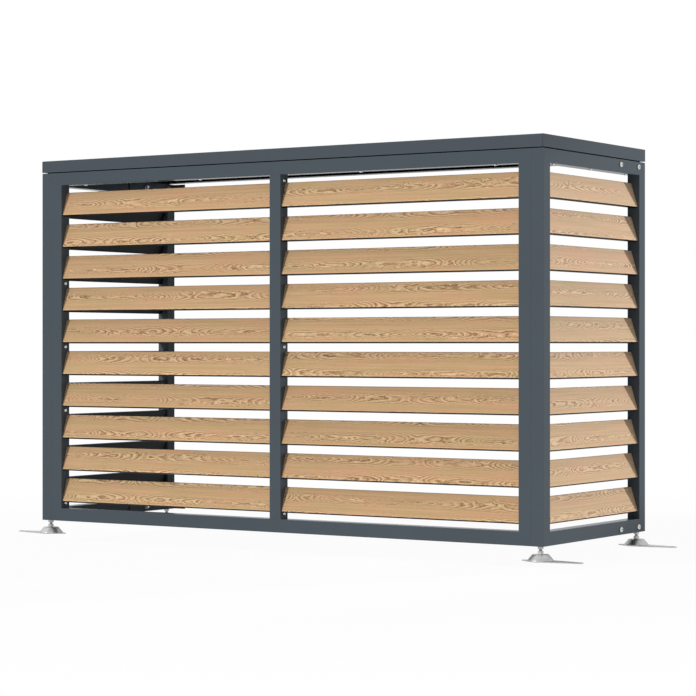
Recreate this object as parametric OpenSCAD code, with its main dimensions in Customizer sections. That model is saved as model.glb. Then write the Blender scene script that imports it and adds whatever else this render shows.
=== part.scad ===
// Slatted three-sided screen with a flat lid, levelling feet and rear wall brackets.
// The origin is on the ground, at the middle of the width and depth. The front faces -Y.

/* [Screen] */
// Overall width of the frames
screen_w = 1830; // [1400:10:2400]
// Overall depth of the frames
screen_d = 650; // [560:10:900]
// Height of the front and side frames
panel_h = 1117; // [1000:1:1400]

/* [Frame tube] */
// Outside width of the square tube
tube = 40; // [36:1:50]
// Wall of the tube
tube_wall = 2; // [1.5:0.5:3]
// Outside corner radius of the tube
tube_r = 1.6; // [1:0.2:2.4]
// Length of the spigots inside the mid stile, at its ends and its middle
spigot_l = 30; // [24:1:50]
// Clearance between a spigot and the tube around it
spigot_clear = 0.3; // [0.1:0.1:0.6]

/* [Slats] */
// Slats in each bay
slat_count = 10; // [4:1:10]
// Gap between a rail and the slat next to it
slat_end_gap = 22.2; // [16:0.1:40]
// Width of a slat, across its face
slat_w = 78; // [66:0.5:82]
// Thickness of a slat
slat_t = 11; // [7:0.5:11]
// Wall of the hollow slat, and of its two webs
slat_wall = 1.4; // [1:0.1:2]
// Width of the slat's middle chamber, between its webs
slat_core = 34; // [24:1:44]
// Corner radius of the slat
slat_r = 1.5; // [0.8:0.1:2]
// Lean of the slats from upright
slat_tilt = 16.7; // [10:0.1:20]
// Distance from the frame's face to the slat's lower front edge
slat_recess = 5; // [3:0.5:7]
// Gap between a slat's end and the stile
slat_gap = 0.5; // [0.3:0.1:0.9]
// Length of the holder that a slat's end slides over
holder_l = 16; // [10:1:30]
// Clearance between a holder and the chamber around it
holder_clear = 0.25; // [0.1:0.05:0.5]

/* [Lid] */
// Height of the lid
lid_h = 37; // [30:1:60]
// Shadow gap between the frames and the lid
lid_gap = 3; // [2:0.5:6]
// Sheet thickness of the lid
lid_sheet = 2; // [1.5:0.5:3]
// Bend radius along the lid's top edges
lid_bend_r = 2.5; // [1:0.5:4]
// Width of the flange folded in along the lid's underside
lid_return = 38; // [34:1:60]
// Thickness of the liner that closes the lid's underside
liner_t = 1.5; // [1:0.5:2]
// Overlap of the liner on the folded flange
liner_lap = 9; // [5:1:10]
// Stiffening channels inside the lid
stiffener_count = 3; // [2:1:5]
// Width of a stiffening channel
stiffener_w = 50; // [30:5:80]
// Width of the seal strip
seal_w = 16; // [14:1:20]
// Distance from the frame's face to the seal strip
seal_inset = 12; // [8:1:13]

/* [Feet] */
// Thickness of the anchor plate
plate_t = 2.5; // [2:0.5:5]
// Radius of the anchor plate under the pad
plate_r = 34; // [28:1:34]
// Distance from the foot's axis to the anchor hole
anchor_reach = 121; // [90:1:160]
// Radius of the anchor plate round the anchor hole
anchor_r = 12; // [10:0.5:16]
// Radius of the anchor hole
anchor_hole_r = 5.5; // [4:0.5:6.5]
// Distance from the foot's axis to the middle of the inner tip's rounding
plate_tail = 51; // [42:1:70]
// Radius of the inner tip
tail_r = 8; // [5:0.5:12]
// Height of the pad
pad_h = 17.5; // [15:0.5:24]
// Radius of the pad on the ground
pad_r = 37.5; // [34.5:0.5:45]
// Radius of the pad's top
pad_top_r = 24; // [16:0.5:26]
// Radius of the stud's ball end
ball_r = 6; // [5.5:0.1:6.5]
// Play between the ball and its socket
ball_play = 0.3; // [0.1:0.1:0.5]
// Height of the spanner hex on the stud
stud_hex_h = 8.5; // [6:0.5:12]
// Bare thread between the spanner hex and the lock nut
thread_gap = 5.5; // [3:0.5:20]
// Height of the lock nut
lock_nut_h = 8; // [6:0.5:10]
// How far the foot screws out
foot_travel = 25; // [5:1:30]

/* [Brackets] */
// Thickness of the wall bracket
bracket_t = 4; // [3:0.5:6]
// Height of the wall bracket
bracket_h = 32; // [28:1:36]
// Length of the leg along the side frame
bracket_leg = 252; // [200:1:300]
// Length of the flange turned in at the rear
bracket_flange = 41; // [34:1:60]
// Radius of the wall screw's hole in the flange
bracket_hole_r = 4.5; // [3:0.5:6]
// Distance from the rear to the rear bolt
bolt_rear = 45; // [41:1:60]
// Distance between the two bolts of a bracket
bolt_spacing = 119; // [60:1:150]

/* [Fasteners] */
// Distance from the frame's side face to the outer lid screws in front
lid_screw_outer = 165; // [100:1:300]
// Distance from the middle to the inner lid screws in front
lid_screw_inner = 295; // [60:1:330]
// Distance from the front and rear faces to the end lid screws of a side
lid_screw_end = 94; // [60:1:110]
// Radius of the lid and panel screws
screw_r = 3; // [2.5:0.5:3]
// Radius of the lid and panel screws' heads
screw_head_r = 5.3; // [5:0.1:6]
// Height of the lid and panel screws' heads
screw_head_h = 3.3; // [2.5:0.1:4]
// Radius of the bracket bolts
bolt_r = 4; // [3:0.5:4]
// Radius of the bracket bolts' heads and the nuts' flanges
bolt_head_r = 8; // [7:0.1:9]
// Height of the bracket bolts' heads
bolt_head_h = 4.4; // [3.5:0.1:6]

/* [Hidden] */
$fn = 48;
// Small reach past a face, so that a cut goes clean through
past = 1;
// Clearance round a screw or bolt in its hole, and of a thread in its nut
hole_clear = 0.3;
thread_clear = 0.05;

// Colours
anthracite = [0.29, 0.33, 0.37];
oak = [0.77, 0.62, 0.45];
zinc = [0.76, 0.76, 0.74];
black = [0.08, 0.08, 0.09];

// Stud, nuts and inserts: standard metric sizes
stud_r = 5;
neck_r = 3.6;
stud_hex_af = 16;
weld_nut_h = 8;
foot_hole_r = stud_r + 0.5;
hex_chamfer = 1.2;
// Thread above the weld nut when the foot is screwed right out
stud_reserve = 11;
stud_inside = tube_wall + weld_nut_h + foot_travel + stud_reserve;
screw_socket_af = 4;
screw_socket_h = 1.8;
bolt_socket_af = 5;
bolt_socket_h = 2.4;
insert_r = screw_r + 1.5;
insert_bulge_r = insert_r + 1;
insert_l = 11;
insert_bulge_l = 3.5;
insert_clear = 0.05;
flange_nut_af = 13;
flange_nut_h = 8;
flange_nut_rim = 1.8;
bolt_end = 2;

// Pad: rim, wall and the boss that holds the ball
pad_rim_h = 2.2;
pad_rim_w = 3.5;
pad_edge = 1;
pad_wall = 3;
pad_boss_r = 13;
pad_gap = 1;

// Heights
foot_h = plate_t + pad_h + pad_gap + stud_hex_h + thread_gap + lock_nut_h;
frame_top = foot_h + panel_h;
lid_bottom = frame_top + lid_gap;
lid_top = lid_bottom + lid_h;
panel_mid = panel_h / 2;
ball_z = plate_t + ball_r + 2.5;
hex_z = plate_t + pad_h + pad_gap;
bolt_edge = bracket_h / 2;

// Slats and bays
slat_rise = slat_w * cos(slat_tilt);
first_slat_z = tube + slat_end_gap;
slat_pitch = (panel_h - 2 * first_slat_z - slat_rise) / (slat_count - 1);
front_w = screen_w - 2 * tube;
front_bay = (front_w - 3 * tube) / 2;
side_bay = screen_d - 2 * tube;
holder_w = slat_core - 2 * holder_clear;
holder_t = slat_t - 2 * slat_wall - 2 * holder_clear;

// Panel screws: the end ones sit just clear of the end slat
end_screw_gap = 6;
end_screw_z = first_slat_z - end_screw_gap;
panel_screw_zs = [end_screw_z, panel_mid - 2 * slat_pitch, panel_mid, panel_mid + 2 * slat_pitch];
mid_screw_zs = [end_screw_z, panel_mid, panel_h - end_screw_z];

// Lid seam near the corner, where the end flange laps the front flange
seam_w = 0.8;
seam_depth = 0.8;
seam_inset = 3;

// Open joint between two seal strips
seal_joint = 0.4;

// How far the anchor plate's straight sides lie inside the tangents of its rounds
plate_hair = 0.05;

SIDES = ["left", "right"];
BAYS = ["front_left", "front_right"];
FEET = ["front_left", "front_right", "rear_left", "rear_right"];
function slat_name(bay, i) = str(BAYS[bay], "_slat_", i < 9 ? "0" : "", i + 1);

// Flat shapes
module rounded_rect(w, h, r) {
    translate([r, 0]) square([w - 2 * r, h]);
    translate([0, r]) square([w, h - 2 * r]);
    for (x = [r, w - r]) {
        for (y = [r, h - r]) translate([x, y]) circle(r);
    }
}

module tube_section() {
    inside = tube - 2 * tube_wall;
    difference() {
        rounded_rect(tube, tube, tube_r);
        translate([tube_wall, tube_wall]) square([inside, inside]);
    }
}

// The slat leans back: its lower front corner is the origin
module slat_section() {
    inside = slat_t - 2 * slat_wall;
    end_chamber = (slat_w - slat_core) / 2 - 2 * slat_wall;
    rotate(-slat_tilt) difference() {
        rounded_rect(slat_t, slat_w, slat_r);
        translate([slat_wall, slat_wall]) square([inside, end_chamber]);
        translate([slat_wall, (slat_w - slat_core) / 2]) square([inside, slat_core]);
        translate([slat_wall, slat_w - slat_wall - end_chamber]) square([inside, end_chamber]);
    }
}

module holder_section() {
    rotate(-slat_tilt) {
        translate([slat_wall + holder_clear, (slat_w - holder_w) / 2]) square([holder_t, holder_w]);
    }
}

// Runs a flat shape along X: its first axis becomes Y and its second Z
module along_x(len) {
    rotate([90, 0, 90]) linear_extrude(len) children();
}

module hex_prism(af, h) {
    cylinder(d = af / cos(30), h = h, $fn = 6);
}

// Hexagon with its corners turned off at both ends
module turned_hex(af, h) {
    corner_r = af / cos(30) / 2;
    intersection() {
        hex_prism(af, h);
        union() {
            cylinder(r1 = corner_r - hex_chamfer, r2 = corner_r, h = hex_chamfer);
            translate([0, 0, hex_chamfer]) cylinder(r = corner_r, h = h - 2 * hex_chamfer);
            translate([0, 0, h - hex_chamfer]) {
                cylinder(r1 = corner_r, r2 = corner_r - hex_chamfer, h = hex_chamfer);
            }
        }
    }
}

// Button-head screw: the shank runs up from the origin, the head hangs below it
module button_screw(shank_r, len, head_r, head_h, socket_af, socket_h) {
    edge = head_h * 0.3;
    difference() {
        rotate_extrude() polygon([
            [0, len], [shank_r, len], [shank_r, 0], [head_r, 0], [head_r, -edge],
            [head_r * 0.86, -head_h * 0.72], [head_r * 0.6, -head_h], [0, -head_h]
        ]);
        translate([0, 0, -head_h - past]) hex_prism(socket_af, socket_h + past);
    }
}

module m_screw(len) {
    button_screw(screw_r, len, screw_head_r, screw_head_h, screw_socket_af, screw_socket_h);
}

// Threaded insert set in a sheet of thickness wall, with its bulge behind the sheet
module thread_insert(wall) {
    rotate_extrude() polygon([
        [screw_r + thread_clear, 0], [insert_r, 0], [insert_r, wall], [insert_bulge_r, wall],
        [insert_bulge_r, wall + insert_bulge_l], [insert_r, wall + insert_bulge_l + past],
        [insert_r, insert_l], [screw_r + thread_clear, insert_l]
    ]);
}

// Flange nut standing on its flange
module flange_nut() {
    difference() {
        union() {
            cylinder(r = bolt_head_r, h = flange_nut_rim);
            turned_hex(flange_nut_af, flange_nut_h);
        }
        translate([0, 0, -past]) cylinder(r = bolt_r + thread_clear, h = flange_nut_h + 2 * past);
    }
}

// Places: each frame is modelled lying along X, with its outer edge at Z = 0
module at_front_panel() {
    translate([-front_w / 2, -screen_d / 2, foot_h]) children();
}

module at_left_panel() {
    translate([tube - screen_w / 2, -screen_d / 2, foot_h]) rotate([0, 0, 90]) children();
}

module at_side(side) {
    if (side == 0) children();
    if (side == 1) mirror([1, 0, 0]) children();
}

module at_top() {
    translate([0, 0, panel_h]) mirror([0, 0, 1]) children();
}

module upright() {
    mirror([1, 0, -1]) children();
}

module at_far_end(len) {
    translate([len, 0, 0]) mirror([1, 0, 0]) children();
}

module at_lid_screws_front() {
    for (x = [screen_w / 2 - lid_screw_outer, lid_screw_inner]) {
        for (way = [-1, 1]) {
            translate([way * x, tube / 2 - screen_d / 2, frame_top - tube]) children();
        }
    }
}

module at_lid_screws_left() {
    reach = screen_d / 2 - lid_screw_end;
    for (y = [-reach, 0, reach]) {
        translate([tube / 2 - screen_w / 2, y, frame_top - tube]) children();
    }
}

module at_all_lid_screws() {
    at_lid_screws_front() children();
    for (side = [0, 1]) at_side(side) at_lid_screws_left() children();
}

// Panel screws of the left end stile, pointing out towards the left side frame
module at_panel_screws_left() {
    for (z = panel_screw_zs) {
        translate([2 * tube - screen_w / 2, tube / 2 - screen_d / 2, foot_h + z]) {
            rotate([0, -90, 0]) children();
        }
    }
}

module at_mid_screws() {
    for (z = mid_screw_zs) {
        translate([tube / 2, tube / 2 - screen_d / 2, foot_h + z]) rotate([0, -90, 0]) children();
    }
}

// Bracket bolts of one rail, from the left side's outer face inward
module at_bolts_left(z) {
    for (back = [bolt_rear, bolt_rear + bolt_spacing]) {
        translate([-screen_w / 2, screen_d / 2 - back, z]) rotate([0, 90, 0]) children();
    }
}

module at_feet_left() {
    for (way = [-1, 1]) {
        translate([tube / 2 - screen_w / 2, way * (screen_d - tube) / 2, 0]) children();
    }
}

function foot_x(f) = (f % 2 == 0 ? -1 : 1) * (screen_w - tube) / 2;
function foot_y(f) = (f < 2 ? -1 : 1) * (screen_d - tube) / 2;

module at_foot(f) {
    translate([foot_x(f), foot_y(f), 0]) children();
}

// Frame tubes
module mitred_tube(len) {
    intersection() {
        along_x(len) tube_section();
        translate([0, tube + past, 0]) rotate([90, 0, 0]) linear_extrude(tube + 2 * past) polygon([
            [-past, -past],
            [len + past, -past],
            [len - tube - past, tube + past],
            [tube + past, tube + past]
        ]);
    }
}

module lid_screw_hole() {
    translate([0, 0, -past]) cylinder(r = screw_r + hole_clear, h = tube + lid_gap + 2 * past);
}

module bolt_hole() {
    translate([0, 0, -past]) cylinder(r = bolt_r + hole_clear, h = tube + bracket_t + 2 * past);
}

module front_top_rail() {
    color(anthracite) difference() {
        at_front_panel() at_top() mitred_tube(front_w);
        at_lid_screws_front() lid_screw_hole();
    }
}

module front_bottom_rail() {
    color(anthracite) at_front_panel() mitred_tube(front_w);
}

module front_end_stile(side) {
    color(anthracite) at_side(side) difference() {
        at_front_panel() upright() mitred_tube(panel_h);
        at_panel_screws_left() {
            translate([0, 0, -past]) cylinder(r = screw_r + hole_clear, h = tube + 2 * past);
        }
    }
}

// The mid stile's front and back walls run on over the rails' rounded edges
module mid_stile_lips() {
    lip = 0.58 * tube_r;
    for (y = [0, 1]) translate([0, y * tube, 0]) mirror([0, y, 0]) {
        along_x(tube - 2 * tube_r) polygon([[0, 0], [lip, 0], [0, -lip]]);
    }
}

module front_mid_stile() {
    len = panel_h - 2 * tube;
    color(anthracite) difference() {
        translate([-tube / 2, -screen_d / 2, foot_h + tube]) {
            linear_extrude(len) tube_section();
            translate([tube_r, 0, 0]) {
                mid_stile_lips();
                translate([0, 0, len]) mirror([0, 0, 1]) mid_stile_lips();
            }
        }
        at_mid_screws() {
            translate([0, 0, -past]) cylinder(r = screw_r + hole_clear, h = tube_wall + 2 * past);
        }
    }
}

module mid_stile_spigots() {
    w = tube - 2 * tube_wall - 2 * spigot_clear;
    color(zinc) difference() {
        for (z = [tube, panel_mid - spigot_l / 2, panel_h - tube - spigot_l]) {
            translate([-w / 2, (tube - w) / 2 - screen_d / 2, foot_h + z]) cube([w, w, spigot_l]);
        }
        at_mid_screws() cylinder(r = screw_r + thread_clear, h = tube - tube_wall - spigot_clear - past);
    }
}

module side_top_rail(side) {
    color(anthracite) at_side(side) difference() {
        at_left_panel() at_top() mitred_tube(screen_d);
        at_lid_screws_left() lid_screw_hole();
        at_bolts_left(frame_top - bolt_edge) bolt_hole();
    }
}

module side_bottom_rail(side) {
    color(anthracite) at_side(side) difference() {
        at_left_panel() mitred_tube(screen_d);
        at_bolts_left(foot_h + bolt_edge) bolt_hole();
        at_feet_left() {
            translate([0, 0, foot_h - past]) cylinder(r = foot_hole_r, h = tube_wall + 2 * past);
        }
    }
}

module side_front_stile(side) {
    color(anthracite) at_side(side) difference() {
        at_left_panel() upright() mitred_tube(panel_h);
        at_panel_screws_left() translate([0, 0, tube - past]) {
            cylinder(r = insert_r + insert_clear, h = tube_wall + 2 * past);
        }
    }
}

module side_rear_stile(side) {
    color(anthracite) at_side(side) at_left_panel() {
        at_far_end(screen_d) upright() mitred_tube(panel_h);
    }
}

// Slats and the holders inside their ends
function slat_z(i) = first_slat_z + i * slat_pitch;

module slat(len) {
    color(oak) translate([slat_gap, 0, 0]) along_x(len - 2 * slat_gap) slat_section();
}

module slat_in(panel_x, i, len) {
    translate([panel_x, slat_recess, slat_z(i)]) slat(len);
}

module front_slat(bay, i) {
    at_front_panel() slat_in(tube + bay * (front_bay + tube), i, front_bay);
}

// The side frames lie with their inner face forward, so their slats are turned to face out
module at_side_bay(side) {
    at_side(side) translate([-screen_w / 2, screen_d / 2, foot_h]) rotate([0, 0, -90]) children();
}

module side_slats(side) {
    at_side_bay(side) {
        for (i = [0:slat_count - 1]) slat_in(tube, i, side_bay);
    }
}

module holder_pair(panel_x, i, bay) {
    for (x = [panel_x, panel_x + bay - holder_l]) {
        translate([x, slat_recess, slat_z(i)]) along_x(holder_l) holder_section();
    }
}

module slat_holders() {
    color(black) for (i = [0:slat_count - 1]) {
        for (bay = [0, 1]) at_front_panel() holder_pair(tube + bay * (front_bay + tube), i, front_bay);
        for (side = [0, 1]) at_side_bay(side) holder_pair(tube, i, side_bay);
    }
}

// Lid
module bent_top_profile(w, h, r) {
    square([w, h - r]);
    translate([r, 0]) square([w - 2 * r, h]);
    for (x = [r, w - r]) translate([x, h - r]) circle(r);
}

// Block whose four top edges are bent round
module bent_block(w, d, h, r) {
    intersection() {
        translate([-w / 2, d / 2, 0]) rotate([90, 0, 0]) linear_extrude(d) bent_top_profile(w, h, r);
        translate([-w / 2, -d / 2, 0]) along_x(w) bent_top_profile(d, h, r);
    }
}

module lid_tray() {
    inner_w = screen_w - 2 * lid_sheet;
    inner_d = screen_d - 2 * lid_sheet;
    color(anthracite) difference() {
        translate([0, 0, lid_bottom]) difference() {
            bent_block(screen_w, screen_d, lid_h, lid_bend_r);
            translate([0, 0, lid_sheet]) {
                bent_block(inner_w, inner_d, lid_h - 2 * lid_sheet, lid_bend_r - lid_sheet / 2);
            }
            translate([lid_return - screen_w / 2, lid_return - screen_d / 2, -past]) {
                cube([screen_w - 2 * lid_return, screen_d - 2 * lid_return, lid_sheet + 2 * past]);
            }
            for (x = [-1, 1]) for (y = [-1, 1]) {
                translate([x * (screen_w / 2 - seam_inset), y * screen_d / 2, 0]) {
                    cube([seam_w, 2 * seam_depth, 2 * (lid_h - lid_bend_r)], center = true);
                }
            }
        }
        at_all_lid_screws() translate([0, 0, tube + lid_gap - past]) {
            cylinder(r = insert_r + insert_clear, h = lid_sheet + 2 * past);
        }
    }
}

module lid_liner() {
    edge = lid_return - liner_lap;
    color(anthracite) translate([edge - screen_w / 2, edge - screen_d / 2, lid_bottom + lid_sheet]) {
        cube([screen_w - 2 * edge, screen_d - 2 * edge, liner_t]);
    }
}

// Channels open downward, from the liner up to the lid's sheet
module lid_stiffeners() {
    h = lid_h - 2 * lid_sheet - liner_t;
    len = screen_d - 2 * lid_return;
    spacing = (screen_w - 2 * lid_return) / (stiffener_count + 1);
    color(zinc) for (i = [1:stiffener_count]) {
        x = lid_return - screen_w / 2 + i * spacing;
        translate([x - stiffener_w / 2, -len / 2, lid_bottom + lid_sheet + liner_t]) difference() {
            cube([stiffener_w, len, h]);
            translate([liner_t, -past, -past]) {
                cube([stiffener_w - 2 * liner_t, len + 2 * past, h - liner_t + past]);
            }
        }
    }
}

// Three strips: the front one ends just short of the two side ones
module lid_seal() {
    front_x = seal_inset + seal_w + seal_joint - screen_w / 2;
    color(black) difference() {
        translate([0, 0, frame_top]) {
            translate([front_x, seal_inset - screen_d / 2, 0]) cube([-2 * front_x, seal_w, lid_gap]);
            for (side = [0, 1]) at_side(side) {
                translate([seal_inset - screen_w / 2, seal_inset - screen_d / 2, 0]) {
                    cube([seal_w, screen_d - 2 * seal_inset, lid_gap]);
                }
            }
        }
        at_all_lid_screws() lid_screw_hole();
    }
}

// Levelling feet
module foot_stud(f) {
    thread_z = hex_z + stud_hex_h;
    color(zinc) at_foot(f) {
        translate([0, 0, ball_z]) sphere(ball_r);
        translate([0, 0, ball_z]) cylinder(r = neck_r, h = hex_z - ball_z);
        translate([0, 0, hex_z]) turned_hex(stud_hex_af, stud_hex_h);
        translate([0, 0, thread_z]) {
            cylinder(r = stud_r, h = foot_h + stud_inside - thread_z - past);
        }
        translate([0, 0, foot_h + stud_inside - past]) cylinder(r1 = stud_r, r2 = stud_r - past, h = past);
    }
}

module foot_pad(f) {
    color(zinc) at_foot(f) translate([0, 0, plate_t]) difference() {
        rotate_extrude() polygon([
            [0, 0], [pad_r, 0], [pad_r, pad_rim_h], [pad_top_r, pad_h - pad_edge],
            [pad_top_r - pad_edge, pad_h], [0, pad_h]
        ]);
        // Hollow between the rim and the boss, closed below by the anchor plate
        rotate_extrude() polygon([
            [pad_boss_r, -past], [pad_r - pad_rim_w, -past], [pad_r - pad_rim_w, 0],
            [pad_top_r - pad_wall, pad_h - pad_edge - pad_wall], [pad_boss_r, pad_h - pad_edge - pad_wall]
        ]);
        translate([0, 0, ball_z - plate_t]) sphere(ball_r + ball_play);
        translate([0, 0, ball_z - plate_t]) cylinder(r = neck_r + ball_play, h = pad_h);
    }
}

// Where the plate's straight side meets a round of radius r whose middle is at x:
// a hair inside the tangent, so that the side cuts into the round
function side_point(r, x, lean) = [x + r * lean, r * sqrt(1 - lean * lean) - plate_hair];

// Wide and round under the pad, it tapers to the anchor hole outward and to a small tip inward
module anchor_plate(f) {
    lean = (plate_r - anchor_r) / anchor_reach;
    tail_lean = (plate_r - tail_r) / plate_tail;
    side = [
        side_point(anchor_r, anchor_reach, lean),
        side_point(plate_r, 0, lean),
        side_point(plate_r, 0, -tail_lean),
        side_point(tail_r, -plate_tail, -tail_lean)
    ];
    far_side = [for (i = [3:-1:0]) [side[i][0], -side[i][1]]];
    color(zinc) at_foot(f) mirror([foot_x(f) < 0 ? 1 : 0, 0, 0]) difference() {
        union() {
            linear_extrude(plate_t) polygon(concat(side, far_side));
            cylinder(r = plate_r, h = plate_t);
            translate([anchor_reach, 0, 0]) cylinder(r = anchor_r, h = plate_t);
            translate([-plate_tail, 0, 0]) cylinder(r = tail_r, h = plate_t);
        }
        translate([anchor_reach, 0, -past]) cylinder(r = anchor_hole_r, h = plate_t + 2 * past);
    }
}

module threaded_hex(h) {
    difference() {
        turned_hex(stud_hex_af, h);
        translate([0, 0, -past]) cylinder(r = stud_r + thread_clear, h = h + 2 * past);
    }
}

module foot_lock_nuts() {
    color(zinc) for (f = [0:3]) at_foot(f) translate([0, 0, foot_h - lock_nut_h]) threaded_hex(lock_nut_h);
}

module foot_weld_nuts() {
    color(zinc) for (f = [0:3]) at_foot(f) translate([0, 0, foot_h + tube_wall]) threaded_hex(weld_nut_h);
}

// Wall brackets, one flush with the foot of the frame and one flush with its top
module wall_brackets(side) {
    color(anthracite) at_side(side) for (z = [foot_h, frame_top - bracket_h]) difference() {
        translate([tube - screen_w / 2, screen_d / 2, z]) {
            translate([0, -bracket_leg, 0]) cube([bracket_t, bracket_leg, bracket_h]);
            translate([0, -bracket_t, 0]) cube([bracket_t + bracket_flange, bracket_t, bracket_h]);
        }
        at_bolts_left(z + bracket_h / 2) bolt_hole();
        translate([wall_hole_x(), screen_d / 2 + past, z + bracket_h / 2]) {
            rotate([90, 0, 0]) cylinder(r = bracket_hole_r, h = bracket_t + 2 * past);
        }
    }
}

function wall_hole_x() = tube - screen_w / 2 + bracket_t + bracket_flange / 2;

// Fasteners, each group with the nuts or inserts that it goes into
module panel_fasteners() {
    color(zinc) {
        for (side = [0, 1]) at_side(side) at_panel_screws_left() {
            m_screw(tube + insert_l + bolt_end);
            translate([0, 0, tube]) thread_insert(tube_wall);
        }
        at_mid_screws() m_screw(tube / 2);
    }
}

module lid_fasteners() {
    color(zinc) at_all_lid_screws() {
        m_screw(tube + lid_gap + insert_l + bolt_end);
        translate([0, 0, tube + lid_gap]) thread_insert(lid_sheet);
    }
}

module bracket_fasteners() {
    len = tube + bracket_t + flange_nut_h + bolt_end;
    color(zinc) for (side = [0, 1]) at_side(side) {
        for (z = [foot_h + bolt_edge, frame_top - bolt_edge]) at_bolts_left(z) {
            button_screw(bolt_r, len, bolt_head_r, bolt_head_h, bolt_socket_af, bolt_socket_h);
            translate([0, 0, tube + bracket_t]) flange_nut();
        }
    }
}

front_top_rail();
front_bottom_rail();
front_end_stile(0);  // front_left_stile
front_end_stile(1);  // front_right_stile
front_mid_stile();
for (s = [0, 1]) {
    side_top_rail(s);
    side_bottom_rail(s);
    side_front_stile(s);
    side_rear_stile(s);
    side_slats(s);
    wall_brackets(s);
}
for (bay = [0, 1]) {
    for (i = [0:slat_count - 1]) {
        front_slat(bay, i);
    }
}
for (f = [0:3]) {
    foot_stud(f);
    foot_pad(f);
    anchor_plate(f);
}
slat_holders();
mid_stile_spigots();
lid_tray();
lid_liner();
lid_stiffeners();
lid_seal();
foot_lock_nuts();
foot_weld_nuts();
panel_fasteners();
lid_fasteners();
bracket_fasteners();
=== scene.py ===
import math

import bmesh
import bpy
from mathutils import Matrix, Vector


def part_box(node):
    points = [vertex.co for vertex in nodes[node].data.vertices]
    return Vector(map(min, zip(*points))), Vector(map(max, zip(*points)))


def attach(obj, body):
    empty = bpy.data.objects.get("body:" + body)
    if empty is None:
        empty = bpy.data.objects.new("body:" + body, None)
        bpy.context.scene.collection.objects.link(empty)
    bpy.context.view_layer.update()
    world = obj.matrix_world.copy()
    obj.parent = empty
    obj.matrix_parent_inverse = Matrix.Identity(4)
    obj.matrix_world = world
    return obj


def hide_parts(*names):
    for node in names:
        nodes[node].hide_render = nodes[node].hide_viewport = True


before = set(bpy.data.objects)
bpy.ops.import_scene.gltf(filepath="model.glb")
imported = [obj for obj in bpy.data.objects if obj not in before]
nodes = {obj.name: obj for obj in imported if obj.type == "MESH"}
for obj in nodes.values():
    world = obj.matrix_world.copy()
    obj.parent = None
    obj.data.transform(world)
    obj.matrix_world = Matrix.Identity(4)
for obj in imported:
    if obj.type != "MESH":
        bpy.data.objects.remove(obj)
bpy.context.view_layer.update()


# A colour as a paint chart gives it, 0 to 255, turned into the linear values that shaders take
def paint(red, green, blue):
    linear = []
    for part in (red, green, blue):
        share = part / 255
        linear.append(share / 12.92 if share <= 0.04045 else ((share + 0.055) / 1.055) ** 2.4)
    return (*linear, 1.0)


# Camera, standing where the photograph was taken from
cameraSettings = {
    "place": (3.962, -6.008, 0.609),
    "turnLeft": 33.06,
    "lens": 118.9,
    "sensor": 36.0,
    "shiftUp": -0.005,
    "clipEnd": 200.0,
}


def makeCamera(settings):
    lensData = bpy.data.cameras.new("camera")
    lensData.lens = settings["lens"]
    lensData.sensor_width = settings["sensor"]
    lensData.shift_y = settings["shiftUp"]
    lensData.clip_end = settings["clipEnd"]
    camera = bpy.data.objects.new("camera", lensData)
    camera.location = settings["place"]
    camera.rotation_euler = (math.radians(90), 0, math.radians(settings["turnLeft"]))
    bpy.context.scene.collection.objects.link(camera)
    bpy.context.scene.camera = camera


makeCamera(cameraSettings)
print("camera placed")


# A socket that can be written into sums: every operator adds the Math node that it stands for
class Value:
    def __init__(self, sheet, socket):
        self.sheet = sheet
        self.socket = socket

    def maths(self, operation, first, second=0.0):
        return self.sheet.put("ShaderNodeMath", {"operation": operation}, [first, second])

    def __add__(self, other):
        return self.maths("ADD", self, other)

    def __radd__(self, other):
        return self.maths("ADD", other, self)

    def __sub__(self, other):
        return self.maths("SUBTRACT", self, other)

    def __rsub__(self, other):
        return self.maths("SUBTRACT", other, self)

    def __mul__(self, other):
        return self.maths("MULTIPLY", self, other)

    def __truediv__(self, other):
        return self.maths("DIVIDE", self, other)

    def __neg__(self):
        return self.maths("MULTIPLY", self, -1.0)

    def __abs__(self):
        return self.maths("ABSOLUTE", self)

    def floor(self):
        return self.maths("FLOOR", self)

    def fraction(self):
        return self.maths("FRACT", self)

    def root(self):
        return self.maths("SQRT", self)

    def sign(self):
        return self.maths("SIGN", self)

    def orLarger(self, other):
        return self.maths("MAXIMUM", self, other)

    # 0 below low, 1 above high, and a soft S between them
    def ramp(self, low, high):
        return self.sheet.put(
            "ShaderNodeMapRange",
            {"interpolation_type": "SMOOTHSTEP"},
            {"Value": self, "From Min": low, "From Max": high, "To Min": 0.0, "To Max": 1.0},
        )

    # Rises between the first two numbers and falls again between the last two
    def hump(self, start, full, ebb, end):
        return self.ramp(start, full) * (1.0 - self.ramp(ebb, end))


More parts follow.
